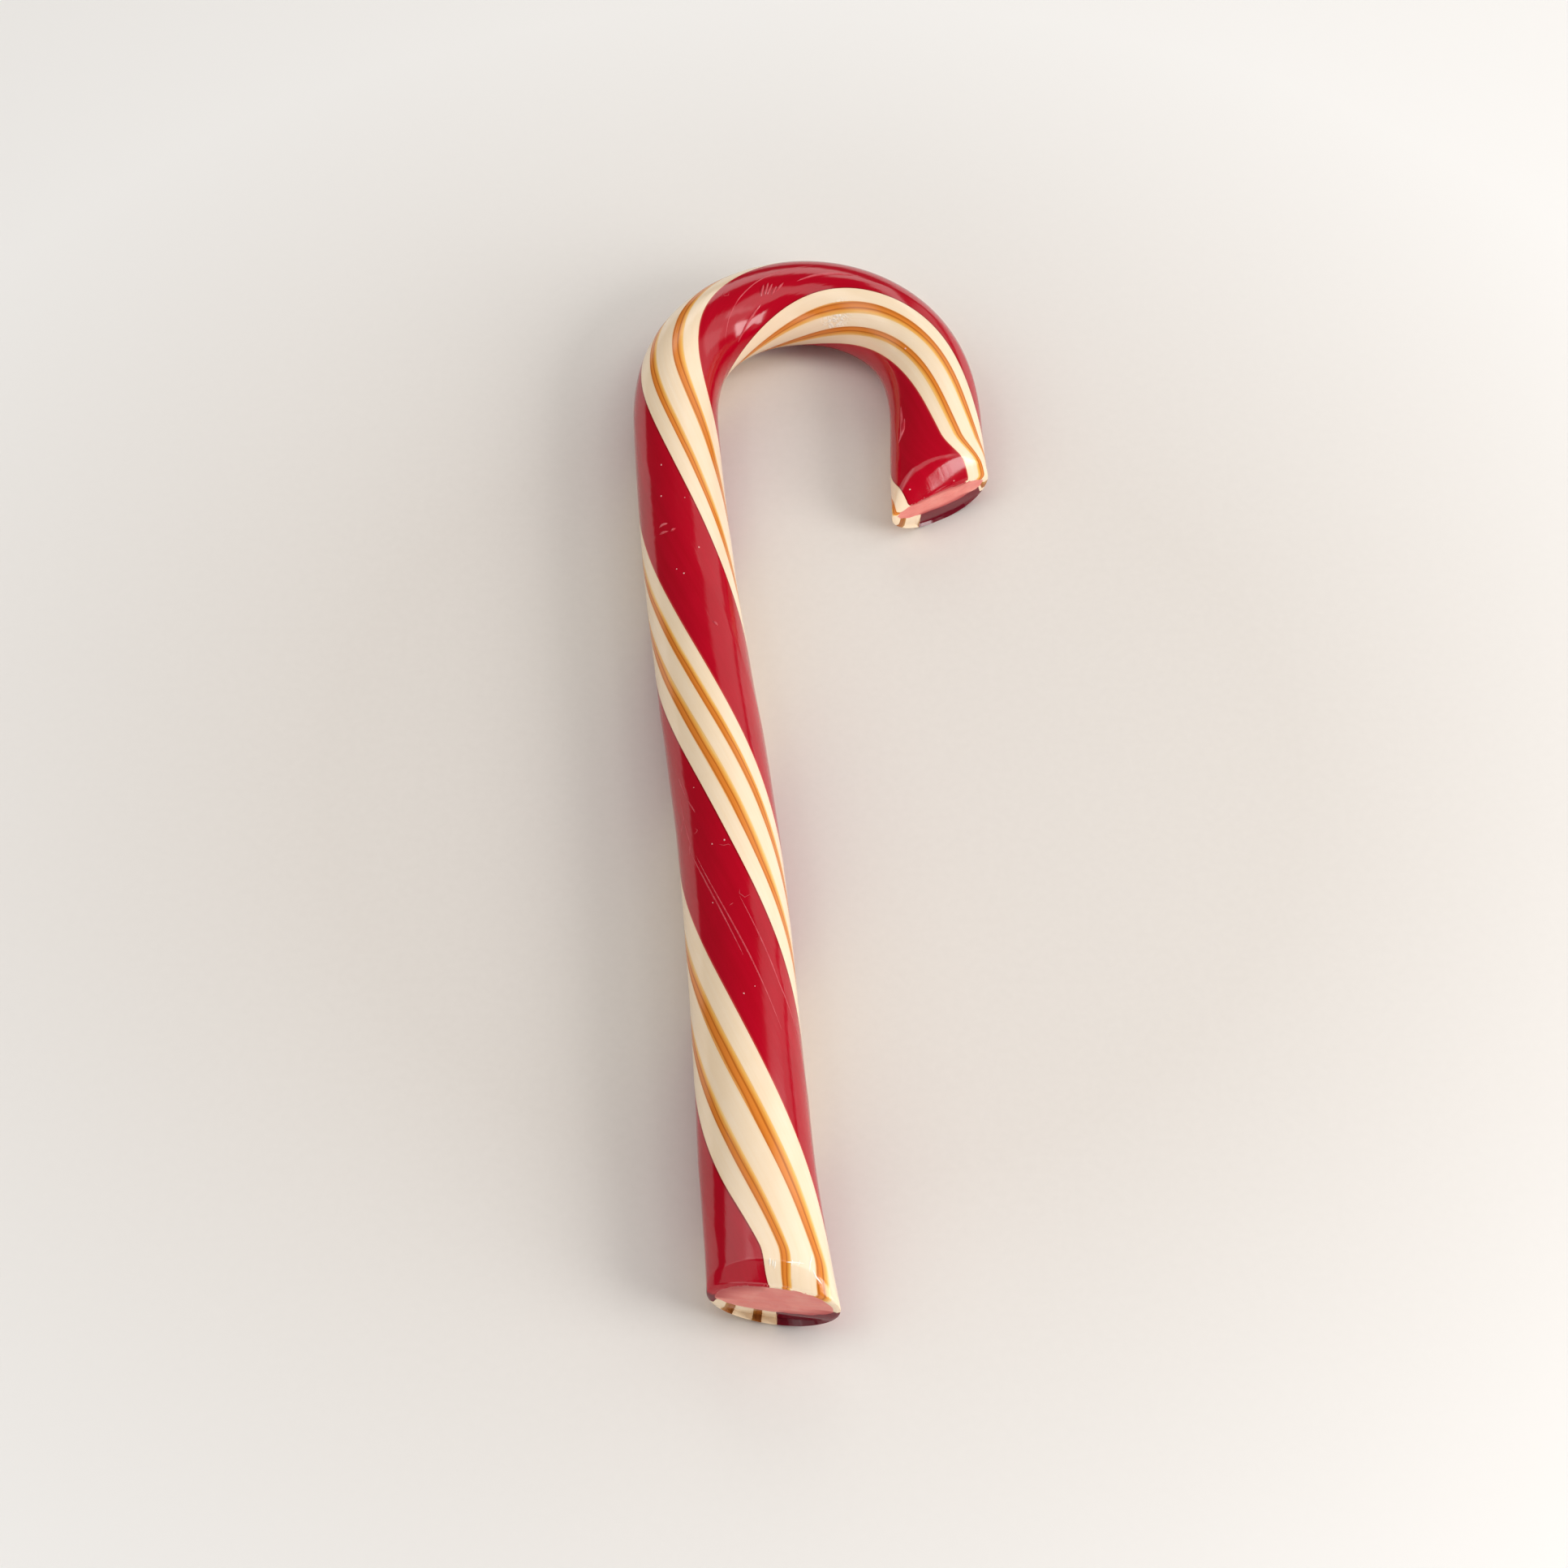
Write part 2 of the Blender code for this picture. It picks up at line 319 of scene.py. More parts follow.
def make_section(line, along):
    """Everything that places a point of the rod at this distance from the foot."""
    place = along / ROD_LENGTH * (len(line) - 1)
    index = min(int(place), len(line) - 2)
    share = place - index
    x, y, heading = (low + (high - low) * share for low, high in zip(line[index], line[index + 1]))
    from_foot, from_tip = along, ROD_LENGTH - along
    taper = smoothstep(along, TAPER_START, TAPER_END)
    radius = FOOT_RADIUS + (HOOK_RADIUS - FOOT_RADIUS) * taper
    radius += HOOK_SWELL * hump(along, HOOK_SWELL_AT, HOOK_SWELL_REACH)
    spread = 1 + FOOT_SPREAD * exp(-from_foot / PINCH_REACH) + TIP_SPREAD * exp(-from_tip / PINCH_REACH)
    half_height = radius / spread
    skew = FOOT_SKEW * (1 - smoothstep(along, 0.0, SKEW_REACH))
    skew += TIP_SKEW * smoothstep(along, ROD_LENGTH - SKEW_REACH, ROD_LENGTH)
    drag = FOOT_STRIPE_DRAG * exp(-from_foot / STRIPE_DRAG_REACH)
    drag += TIP_STRIPE_DRAG * exp(-from_tip / STRIPE_DRAG_REACH)
    return Section(
        along,
        x,
        y,
        heading,
        twist(along),
        radius * spread,
        half_height,
        half_height - REST_FLAT_DEPTH,
        skew,
        max(0.0, 1 - min(from_foot, from_tip) / SHOULDER_LENGTH),
        drag,
    )


def reach_up(section, angle):
    """Height of the rod over its sides at this angle, less the facets that the snips pressed."""
    steepness = abs(cos(angle))
    near_foot = section.along < ROD_LENGTH / 2
    from_cut = section.along if near_foot else ROD_LENGTH - section.along
    facet = FOOT_FACET_LENGTH if near_foot else TIP_FACET_LENGTH * (1 + TIP_FACET_TILT * sin(angle))
    curve = FOOT_FACET_CURVE if near_foot else TIP_FACET_CURVE
    pressed = max(0.0, 1 - from_cut / (facet * steepness**0.7 + RIM_ROUNDING)) ** curve
    if cos(angle) > 0:
        drop = FOOT_DROP_ABOVE if near_foot else TIP_DROP_ABOVE
    else:
        drop = FOOT_DROP_BELOW if near_foot else TIP_DROP_BELOW
    return section.half_height - drop * pressed


def core_share(section, angle):
    """Size of the core as shares of the rod's, across and up: at a cut it is a lens set high."""
    up_or_down = CORE_TOP_AT_CUT if cos(angle) > 0 else CORE_BOTTOM_AT_CUT
    seat = Vector((cos(angle), sin(angle), section.along / FOOT_RADIUS)) * 4
    wander = CORE_EDGE_WANDER * noise.noise(seat) * (1 - max(0.0, cos(angle)))
    return (
        CORE_SHARE + section.shoulder * (CORE_SIDE_AT_CUT + wander - CORE_SHARE),
        CORE_SHARE + section.shoulder * (up_or_down + wander - CORE_SHARE),
    )


def skin_relief(section, angle):
    """How far the skin stands off the plain rod: soft dents, ridges along the stripes, ripples."""
    stripe = angle + section.turn
    seat = Vector((cos(angle), sin(angle), section.along / FOOT_RADIUS)) * (FOOT_RADIUS / DENT_SIZE)
    height = DENT_DEPTH * noise.noise(seat)
    for middle, reach in RIDGES:
        off = (stripe - radians(middle) + pi) % (2 * pi) - pi
        height += RIDGE_HEIGHT * exp(-abs(off) / radians(reach))
    ripples = hump(section.along, RIPPLES_AT, RIPPLES_REACH) * max(0.0, cos(angle - radians(RIPPLES_SIDE))) ** 12
    unevenly = 2 * noise.noise(seat * 6)
    height += RIPPLE_HEIGHT * ripples * sin(2 * pi * section.along / RIPPLE_PITCH + unevenly)
    return height - RIDGE_HEIGHT


def layer_share(section, core, depth):
    """Shares of the rod's size at a depth from 0, the skin, to 1, the core; a cut's rim is round."""
    from_cut = min(section.along, ROD_LENGTH - section.along)
    drawn_in = 0.0
    if from_cut < RIM_ROUNDING:
        drawn_in = RIM_ROUNDING - sqrt(RIM_ROUNDING**2 - (RIM_ROUNDING - from_cut) ** 2)
    return tuple(1 - depth * (1 - share) - (1 - depth) * drawn_in / section.half_height for share in core)


def on_rod(section, angle, shares=(1.0, 1.0), lift=0.0, forward=0.0):
    """A point of the rod, at an angle from its top and shares of its size across and up.

    lift moves it outwards and forward moves it along the rod, both in metres.
    """
    right = section.half_width * shares[0] * sin(angle)
    up = reach_up(section, angle) * shares[1] * cos(angle)
    size = hypot(right, up) or 1.0
    right += lift * right / size
    up += lift * up / size
    forward += right * section.skew
    turned_sin, turned_cos = sin(section.heading), cos(section.heading)
    return Vector(
        (
            section.x + right * turned_cos + forward * turned_sin,
            section.y - right * turned_sin + forward * turned_cos,
            max(0.0, section.side_height + up),
        )
    )


def along_at(share):
    """Distance from the foot for a share of the rod's length, in finer steps near both cuts."""
    return ROD_LENGTH * (share - END_FINENESS * sin(2 * pi * share) / (2 * pi))


def stripe_angle(section, degrees):
    """Angle from the top of a stripe's line, given by its place round the foot."""
    angle = radians(degrees) - section.turn
    return angle - section.drag * sin(2 * angle)


def drifted(degrees, along):
    """Place of a stripe's edge there, with its wandering."""
    shift = sum(
        amount * hump(along, middle, reach)
        for edge, middle, amount, reach in EDGE_DRIFTS
        if abs((degrees - edge + 180) % 360 - 180) < 0.5
    )
    return degrees + shift


def cut_forward(section, right_share, up_share):
    """How far a cut face stands out or in: torn steps across it, and its lower lip drawn back."""
    steps = noise.noise(Vector((right_share * 2.2, up_share * 11.0, section.along * 40)))
    near_foot = section.along < ROD_LENGTH / 2
    undercut = FOOT_UNDERCUT if near_foot else TIP_UNDERCUT
    drawn_back = undercut * smoothstep(-up_share, 0.30, 1.0)
    outwards = -1 if near_foot else 1
    return outwards * (CUT_STEP_HEIGHT * steps - drawn_back)


def cut_lip_colour_and_shade(section, angle):
    """How much the snipped end is darkened there: the lower lip, not the skin pressed over the top. It is partly the
    deep colour of the bare cut sugar and partly painted shade where the lip faces down.
    """
    from_cut = min(section.along, ROD_LENGTH - section.along)
    below = smoothstep(-cos(angle), -0.30, 0.05)
    return below * (1 - smoothstep(from_cut, LIP_LENGTH, 2 * LIP_LENGTH))


def finish_piece(name, shape, material, slot, *nodes):
    """Makes the shape an object that rides on the cane and stands for its solids."""
    bmesh.ops.recalc_face_normals(shape, faces=shape.faces)
    mesh = bpy.data.meshes.new(name)
    shape.to_mesh(mesh)
    shape.free()
    mesh.materials.append(material)
    mesh.shade_smooth()
    mesh.set_sharp_from_angle(angle=radians(38))
    piece = bpy.data.objects.new(name, mesh)
    bpy.context.scene.collection.objects.link(piece)
    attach(piece, "root")
    if nodes:
        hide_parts(*nodes)
    return piece


def make_stripe(name, material, slot, sections, start, end, origin):
    """A stripe of the jacket: a flat slab wrapped round the rod, from the skin to the core."""
    across = max(4, ceil((end - start) / ACROSS_DEGREES))
    lengths = len(sections) - 1
    shape = bmesh.new()
    bmesh.ops.create_grid(shape, x_segments=across, y_segments=lengths, size=0.5)
    made = bmesh.ops.extrude_face_region(shape, geom=shape.faces[:])
    lower = [item for item in made["geom"] if isinstance(item, bmesh.types.BMVert)]
    bmesh.ops.translate(shape, verts=lower, vec=(0, 0, -1))
    upright = [edge for edge in shape.edges if abs(edge.verts[0].co.z - edge.verts[1].co.z) > 0.5]
    bmesh.ops.subdivide_edges(shape, edges=upright, cuts=DEPTH_LAYERS - 1)
    from_edge = shape.verts.layers.float.new("from_edge")
    across_layer = shape.verts.layers.float.new("across")
    cut_lip_shade = shape.verts.layers.float.new("cut_lip_shade")
    uv = shape.loops.layers.uv.new("along_stripe")
    shape.verts.index_update()
    flat = [(vert.co.x + 0.5, round((vert.co.y + 0.5) * lengths), -vert.co.z) for vert in shape.verts]
    width = radians(end - start) * FOOT_RADIUS
    edges = [(drifted(start, section.along), drifted(end, section.along)) for section in sections]
    for face in shape.faces:
        for loop in face.loops:
            side, station, depth = flat[loop.vert.index]
            loop[uv].uv = (
                (radians(start) * FOOT_RADIUS + side * width) / MM,
                (sections[station].along + depth * FOOT_RADIUS * (1 - CORE_SHARE)) / MM,
            )
    for vertex, (side, station, depth) in zip(shape.verts, flat):
        section = sections[station]
        low, high = edges[station]
        angle = stripe_angle(section, low + (high - low) * side)
        core = core_share(section, angle)
        share = layer_share(section, core, depth)
        forward = 0.0
        if station in (0, lengths):
            forward = cut_forward(section, share[0] * sin(angle), share[1] * cos(angle))
        lift = skin_relief(section, angle) * (1 - depth)
        vertex[from_edge] = min(side, 1 - side) * width / MM
        vertex[across_layer] = side
        # Darkening of the lower lip at the cuts: partly the bare sugar's deep colour, partly painted shade.
        vertex[cut_lip_shade] = cut_lip_colour_and_shade(section, angle)
        vertex.co = on_rod(section, angle, share, lift, forward) - origin
    return finish_piece(name + "_skin", shape, material, slot, name)


def skin_place(line, along, degrees):
    """A point of the skin and the directions along, across and off it there."""
    def point(distance, place, lift=0.0):
        section = make_section(line, distance)
        angle = stripe_angle(section, place)
        return on_rod(section, angle, lift=skin_relief(section, angle) + lift)

    here = point(along, degrees)
    forwards = (point(along + 0.3 * MM, degrees) - point(along - 0.3 * MM, degrees)).normalized()
    across = (point(along, degrees + 2) - point(along, degrees - 2)).normalized()
    off = forwards.cross(across).normalized()
    if off.dot(point(along, degrees, MM) - here) < 0:
        off = -off
    return here, off


def add_ridge(shape, line, path, width, height, origin):
    """A low raised line on the skin along a path, pointed at both ends, part sunk in the skin."""
    places = []
    for (start, start_degrees), (end, end_degrees) in zip(path, path[1:]):
        turned = (end_degrees - start_degrees + 180) % 360 - 180
        run = hypot(end - start, radians(turned) * FOOT_RADIUS / MM)
        steps = max(2, ceil(run / RIDGE_STEP))
        for index in range(bool(places), steps + 1):
            share = index / steps
            along = (start + (end - start) * share) * MM
            places.append(skin_place(line, along, start_degrees + turned * share))
    circle = bmesh.ops.create_circle(shape, cap_ends=True, segments=RIDGE_SIDES, radius=1.0)
    loop = circle["verts"]
    unit = [vertex.co.copy() for vertex in loop]
    last = len(places) - 1
    for index, (middle, off) in enumerate(places):
        before, after = places[max(0, index - 1)][0], places[min(last, index + 1)][0]
        side = (after - before).cross(off).normalized()
        size = max(0.12, max(0.0, sin(pi * index / last)) ** 0.5)
        if index:
            face = next(item for item in shape.faces if set(item.verts) == set(loop))
            made = bmesh.ops.extrude_face_region(shape, geom=[face])
            fresh = [item for item in made["geom"] if isinstance(item, bmesh.types.BMVert)]
            loop = [min(fresh, key=lambda item: (item.co - old.co).length) for old in loop]
        for vertex, place in zip(loop, unit):
            offset = side * (place.x * width / 2) + off * (place.y * height)
            vertex.co = middle - origin + offset * size


def make_ridges(name, material, slot, line, paths, width, height, origin):
    """Every path's raised line, as one piece."""
    shape = bmesh.new()
    for path in paths:
        strand = bmesh.new()
        add_ridge(strand, line, path, width, height, origin)
        mesh = bpy.data.meshes.new("strand")
        strand.to_mesh(mesh)
        strand.free()
        shape.from_mesh(mesh)
        bpy.data.meshes.remove(mesh)
    return finish_piece(name, shape, material, slot)


def make_specks(name, material, slot, line, places, origin):
    """Burst bubbles and sugar dust: flat grains that lie on the skin."""
    shape = bmesh.new()
    for index, (along, degrees) in enumerate(places):
        middle, off = skin_place(line, along * MM, degrees)
        size = SPECK_RADIUS * (0.55 + 0.45 * (index * 7 % 5) / 4)
        turn = off.to_track_quat("Z", "Y").to_matrix().to_4x4()
        stretch = Matrix.Diagonal((size, size * 0.75, size * 0.4, 1.0))
        place = Matrix.Translation(middle - origin) @ turn @ stretch
        bmesh.ops.create_icosphere(shape, subdivisions=2, radius=1.0, matrix=place)
    return finish_piece(name, shape, material, slot)


def disc_place(x, y):
    """Moves a point of the square from -1 to 1 into the unit disc."""
    return x * sqrt(1 - y * y / 2), y * sqrt(1 - x * x / 2)


def make_core(name, material, slot, sections, origin):
    """The pulled core: a square block whose section is drawn round and swept along the rod."""
    lengths = len(sections) - 1
    shape = bmesh.new()
    bmesh.ops.create_grid(shape, x_segments=CORE_GRID, y_segments=CORE_GRID, size=1)
    made = bmesh.ops.extrude_face_region(shape, geom=shape.faces[:])
    upper = [item for item in made["geom"] if isinstance(item, bmesh.types.BMVert)]
    bmesh.ops.translate(shape, verts=upper, vec=(0, 0, lengths))
    upright = [edge for edge in shape.edges if abs(edge.verts[0].co.z - edge.verts[1].co.z) > 0.5]
    bmesh.ops.subdivide_edges(shape, edges=upright, cuts=lengths - 1)
    near_red = shape.verts.layers.float.new("near_red")
    for vertex in shape.verts:
        station = round(vertex.co.z)
        section = sections[station]
        right, up = disc_place(vertex.co.x, vertex.co.y)
        angle = atan2(right, up)
        place = hypot(right, up)
        core = [place * share for share in core_share(section, angle)]
        forward = 0.0
        if station in (0, lengths):
            forward = cut_forward(section, core[0] * sin(angle), core[1] * cos(angle))
        stripe = (angle + section.turn) % (2 * pi)
        red = max(
            smoothstep(sin(stripe - radians(low)), 0.0, 0.15) * smoothstep(sin(radians(high) - stripe), 0.0, 0.15)
            for low, high in (RED_A, RED_B)
        )
        vertex[near_red] = red * smoothstep(place, 0.55, 1.0)
        vertex.co = on_rod(section, angle, core, 0.0, forward) - origin
    return finish_piece(name + "_skin", shape, material, slot, name)


def add_node(tree, kind, inputs=None, **settings):
    """A shader node with its settings, and its inputs set to values or joined to sockets."""
    made = tree.nodes.new(kind)
    for key, value in settings.items():
        setattr(made, key, value)
    for key, value in (inputs or {}).items():
        if isinstance(value, bpy.types.NodeSocket):
            tree.links.new(value, made.inputs[key])
        else:
            made.inputs[key].default_value = value
    return made


def new_material(name, roughness, coat):
    """An empty glossy finish: its tree and shader are filled in by the caller."""
    material = bpy.data.materials.new(name)
    material.use_nodes = True
    shader = material.node_tree.nodes["Principled BSDF"]
    shader.inputs["Roughness"].default_value = roughness
    shader.inputs["Coat Weight"].default_value = coat
    shader.inputs["Coat Roughness"].default_value = 0.05
    return material, material.node_tree, shader


def colour_mix(tree, share, low, high):
    """A colour between low and high, each a colour or a socket."""
    mix = add_node(tree, "ShaderNodeMix", data_type="RGBA")
    tree.links.new(share, mix.inputs["Factor"])
    for socket, colour in ((mix.inputs["A"], low), (mix.inputs["B"], high)):
        if isinstance(colour, bpy.types.NodeSocket):
            tree.links.new(colour, socket)
        else:
            socket.default_value = (*colour, 1.0)
    return mix.outputs["Result"]


def remap(tree, value, low, high, to_low, to_high):
    """Value from low..high moved to to_low..to_high, held at its ends."""
    inputs = {"Value": value, "From Min": low, "From Max": high, "To Min": to_low, "To Max": to_high}
    return add_node(tree, "ShaderNodeMapRange", inputs).outputs["Result"]


def pulled_streaks(tree, across, along, detail):
    """Noise drawn out along the stripe, as pulled sugar is: periods a millimetre both ways."""
    uv = add_node(tree, "ShaderNodeUVMap", uv_map="along_stripe").outputs["UV"]
    placed = add_node(tree, "ShaderNodeMapping", {"Vector": uv, "Scale": (across, along, 1.0)})
    inputs = {"Vector": placed.outputs["Vector"], "Scale": 1.0, "Detail": detail, "Roughness": 0.6}
    return add_node(tree, "ShaderNodeTexNoise", inputs).outputs["Fac"]


def speckle(tree, scale, detail):
    """Even noise in the cane's own space, scale in periods a metre."""
    place = add_node(tree, "ShaderNodeTexCoord").outputs["Object"]
    inputs = {"Vector": place, "Scale": scale, "Detail": detail, "Roughness": 0.55}
    return add_node(tree, "ShaderNodeTexNoise", inputs).outputs["Fac"]


def bump_from(tree, shader, *layers):
    """Stacks (height socket, distance) layers on the shader's normal."""
    normal = None
    for height, distance in layers:
        inputs = {"Height": height, "Distance": distance, "Strength": 1.0}
        if normal is not None:
            inputs["Normal"] = normal
        normal = add_node(tree, "ShaderNodeBump", inputs).outputs["Normal"]
    tree.links.new(normal, shader.inputs["Normal"])


def make_red():
    """Deep red clear-boiled sugar with faint pulled lines, darker where it laps the cream, and dark maroon on the
    lower lip at the cuts, partly its own deep colour and partly painted shade.
    """
    material, tree, shader = new_material("red_boiled_sugar", 0.11, 0.0)
    streaks = pulled_streaks(tree, 1.3, 0.035, 5.0)
    clouds = speckle(tree, 130.0, 3.0)
    colour = colour_mix(tree, remap(tree, streaks, 0.3, 0.75, 0.0, 1.0), (0.43, 0.0002, 0.011), (0.49, 0.0006, 0.016))
    colour = colour_mix(tree, remap(tree, clouds, 0.35, 0.75, 0.0, 0.5), colour, (0.37, 0.0, 0.010))
    across = add_node(tree, "ShaderNodeAttribute", attribute_name="across").outputs["Fac"]
    colour = colour_mix(tree, remap(tree, across, 0.0, 0.025, 0.45, 0.0), colour, (0.66, 0.16, 0.12))
    colour = colour_mix(tree, remap(tree, across, 0.975, 0.99, 0.0, 0.7), colour, (0.16, 0.001, 0.005))
    # Partly painted shade: the lower lip at the cuts turns dark maroon, for the deep red of the bare sugar and for
    # the lip facing down.
    cut = add_node(tree, "ShaderNodeAttribute", attribute_name="cut_lip_shade").outputs["Fac"]
    colour = colour_mix(tree, remap(tree, cut, 0.2, 0.8, 0.0, 0.9), colour, (0.13, 0.004, 0.014))
    tree.links.new(colour, shader.inputs["Base Color"])
    fine = speckle(tree, 2200.0, 2.0)
    bump_from(tree, shader, (streaks, 0.00002), (fine, 0.000002))
    return material


def make_cream():
    """Warm cream pulled sugar with long faint lines, and a grainy patch whose bumps are real and whose whitened
    colour is a painted highlight.
    """
    material, tree, shader = new_material("cream_pulled_sugar", 0.15, 0.0)
    streaks = pulled_streaks(tree, 2.2, 0.05, 5.0)
    clouds = speckle(tree, 260.0, 4.0)
    colour = colour_mix(tree, remap(tree, streaks, 0.3, 0.75, 0.0, 1.0), (0.95, 0.78, 0.58), (0.93, 0.73, 0.50))
    colour = colour_mix(tree, remap(tree, clouds, 0.4, 0.75, 0.0, 0.4), colour, (0.91, 0.70, 0.46))
    edge = add_node(tree, "ShaderNodeAttribute", attribute_name="from_edge").outputs["Fac"]
    colour = colour_mix(tree, remap(tree, edge, 0.0, 0.25, 0.40, 0.0), colour, (0.92, 0.60, 0.32))
    tree.links.new(colour, shader.inputs["Base Color"])
    fine = speckle(tree, 1800.0, 2.0)
    uv = add_node(tree, "ShaderNodeUVMap", uv_map="along_stripe").outputs["UV"]
    middle = (radians(FROST_AND_HIGHLIGHT_AT[0]) * FOOT_RADIUS / MM, FROST_AND_HIGHLIGHT_AT[1], 0.0)
    away = add_node(tree, "ShaderNodeVectorMath", {0: uv, 1: middle}, operation="DISTANCE").outputs["Value"]
    patch_and_highlight_falloff = remap(tree, away, FROST_AND_HIGHLIGHT_REACH * 0.3, FROST_AND_HIGHLIGHT_REACH, 1.0, 0.0)
    grains = remap(tree, speckle(tree, 3200.0, 1.0), 0.45, 0.62, 0.0, 1.0)
    grain_bump_and_highlight = add_node(tree, "ShaderNodeMath", {0: patch_and_highlight_falloff, 1: grains}, operation="MULTIPLY").outputs["Value"]
    # Painted highlight: the grainy patch is whitened towards (1.0, 0.95, 0.88).
    colour = colour_mix(tree, remap(tree, grain_bump_and_highlight, 0.0, 1.0, 0.0, 0.7), colour, (1.0, 0.95, 0.88))
    tree.links.new(colour, shader.inputs["Base Color"])
    bump_from(tree, shader, (streaks, 0.00002), (fine, 0.000005), (grain_bump_and_highlight, 0.00006))
    return material


def make_amber():
    """Amber thread: burnt at one edge, orange inside with a brown line, and yellow at the other edge. Dark brown on
    the lower lip at the cuts, partly its own colour there and partly painted shade.
    """
    material, tree, shader = new_material("amber_clear_sugar", 0.12, 0.0)
    streaks = pulled_streaks(tree, 3.5, 0.03, 4.0)
    drift = pulled_streaks(tree, 0.2, 0.05, 2.0)
    across = add_node(tree, "ShaderNodeAttribute", attribute_name="across").outputs["Fac"]
    wobble = add_node(
        tree,
        "ShaderNodeMath",
        {0: across, 1: remap(tree, drift, 0.3, 0.7, -0.12, 0.12)},
        operation="ADD",
    ).outputs["Value"]
    ramp = add_node(tree, "ShaderNodeValToRGB", {"Fac": wobble})
    stops = (
        (0.0, (0.80, 0.36, 0.09)),
        (0.09, (0.52, 0.130, 0.012)),
        (0.20, (0.72, 0.215, 0.028)),
        (0.44, (0.78, 0.250, 0.034)),
        (0.54, (0.46, 0.115, 0.011)),
        (0.64, (0.80, 0.30, 0.045)),
        (0.84, (0.90, 0.47, 0.10)),
        (1.0, (0.93, 0.64, 0.27)),
    )
    elements = ramp.color_ramp.elements
    elements[0].position, elements[0].color = stops[0][0], (*stops[0][1], 1.0)
    elements[1].position, elements[1].color = stops[-1][0], (*stops[-1][1], 1.0)
    for position, colour in stops[1:-1]:
        elements.new(position).color = (*colour, 1.0)
    colour = colour_mix(tree, remap(tree, streaks, 0.45, 0.8, 0.0, 0.4), ramp.outputs["Color"], (0.42, 0.11, 0.010))
    # Partly painted shade: the lower lip at the cuts turns dark brown, for the bare sugar's own colour and for the
    # lip facing down.
    cut = add_node(tree, "ShaderNodeAttribute", attribute_name="cut_lip_shade").outputs["Fac"]
    colour = colour_mix(tree, remap(tree, cut, 0.2, 0.8, 0.0, 0.7), colour, (0.28, 0.09, 0.02))
    tree.links.new(colour, shader.inputs["Base Color"])
    bump_from(tree, shader, (streaks, 0.00003))
    return material


def make_pink():
    """Dusty pink pulled core: satin, with fine torn lines across the cut."""
    material, tree, shader = new_material("pink_pulled_core", 0.34, 0.0)
    place = add_node(tree, "ShaderNodeTexCoord").outputs["Object"]
    placed = add_node(tree, "ShaderNodeMapping", {"Vector": place, "Scale": (220.0, 700.0, 1500.0)})
    inputs = {"Vector": placed.outputs["Vector"], "Scale": 1.0, "Detail": 5.0, "Roughness": 0.65}
    lines = add_node(tree, "ShaderNodeTexNoise", inputs).outputs["Fac"]
    clouds = speckle(tree, 420.0, 3.0)
    colour = colour_mix(tree, remap(tree, lines, 0.35, 0.7, 0.0, 1.0), (0.84, 0.27, 0.225), (0.76, 0.20, 0.18))
    colour = colour_mix(tree, remap(tree, clouds, 0.45, 0.8, 0.0, 0.5), colour, (0.90, 0.42, 0.34))
    red = add_node(tree, "ShaderNodeAttribute", attribute_name="near_red").outputs["Fac"]
    colour = colour_mix(tree, remap(tree, red, 0.0, 1.0, 0.0, 0.8), colour, (0.42, 0.02, 0.03))
    tree.links.new(colour, shader.inputs["Base Color"])
    bump_from(tree, shader, (lines, 0.00005), (clouds, 0.00004))
    return material


def make_raised_red():
    """Red where the skin is drawn up thin and paler, along seams and folds."""
    material, tree, shader = new_material("raised_red_sugar", 0.10, 0.0)
    clouds = speckle(tree, 900.0, 3.0)
    colour = colour_mix(tree, remap(tree, clouds, 0.3, 0.7, 0.0, 1.0), (0.54, 0.02, 0.04), (0.62, 0.09, 0.11))
    tree.links.new(colour, shader.inputs["Base Color"])
    bump_from(tree, shader, (clouds, 0.00001))
    return material


def make_ridge_with_painted_glint():
    """Cream drawn up into thin ridges by the snips, coloured near white as a painted highlight of their glints."""
    material, tree, shader = new_material("ridge_sugar_painted_glint", 0.2, 0.0)
    clouds = speckle(tree, 1500.0, 2.0)
    # Painted highlight: near-white colour for the glints on these ridges.
    colour = colour_mix(tree, remap(tree, clouds, 0.3, 0.7, 0.0, 1.0), (0.98, 0.94, 0.86), (0.97, 0.88, 0.74))
    tree.links.new(colour, shader.inputs["Base Color"])
    bump_from(tree, shader, (clouds, 0.00001))
    return material


def make_dust():
    """Pale sugar dust and burst bubbles."""
    material, tree, shader = new_material("sugar_dust", 0.35, 0.0)
    clouds = speckle(tree, 3000.0, 2.0)
    colour = colour_mix(tree, remap(tree, clouds, 0.3, 0.7, 0.0, 1.0), (0.90, 0.62, 0.58), (0.74, 0.30, 0.29))
    tree.links.new(colour, shader.inputs["Base Color"])
    bump_from(tree, shader, (clouds, 0.00002))
    return material


def stripe_list():
    """Every stripe of the jacket as (name, kind, start, end), in degrees round the foot."""
    half = THREAD_WIDTH / 2
    stripes = [("red_band_a", "red_candy", *RED_A), ("red_band_b", "red_candy", *RED_B)]
    for letter, threads, start, end in (
        ("a", THREADS_A, RED_A[1], RED_B[0]),
        ("b", THREADS_B, RED_B[1], RED_A[0] + 360),
    ):
        for number, middle in enumerate(threads, 1):
            stripes.append((f"cream_strip_{letter}{number}", "cream_candy", start, middle - half))
            stripes.append((f"amber_thread_{letter}{number}", "amber_candy", middle - half, middle + half))
            start = middle + half
        stripes.append((f"cream_strip_{letter}{len(threads) + 1}", "cream_candy", start, end))
    return stripes


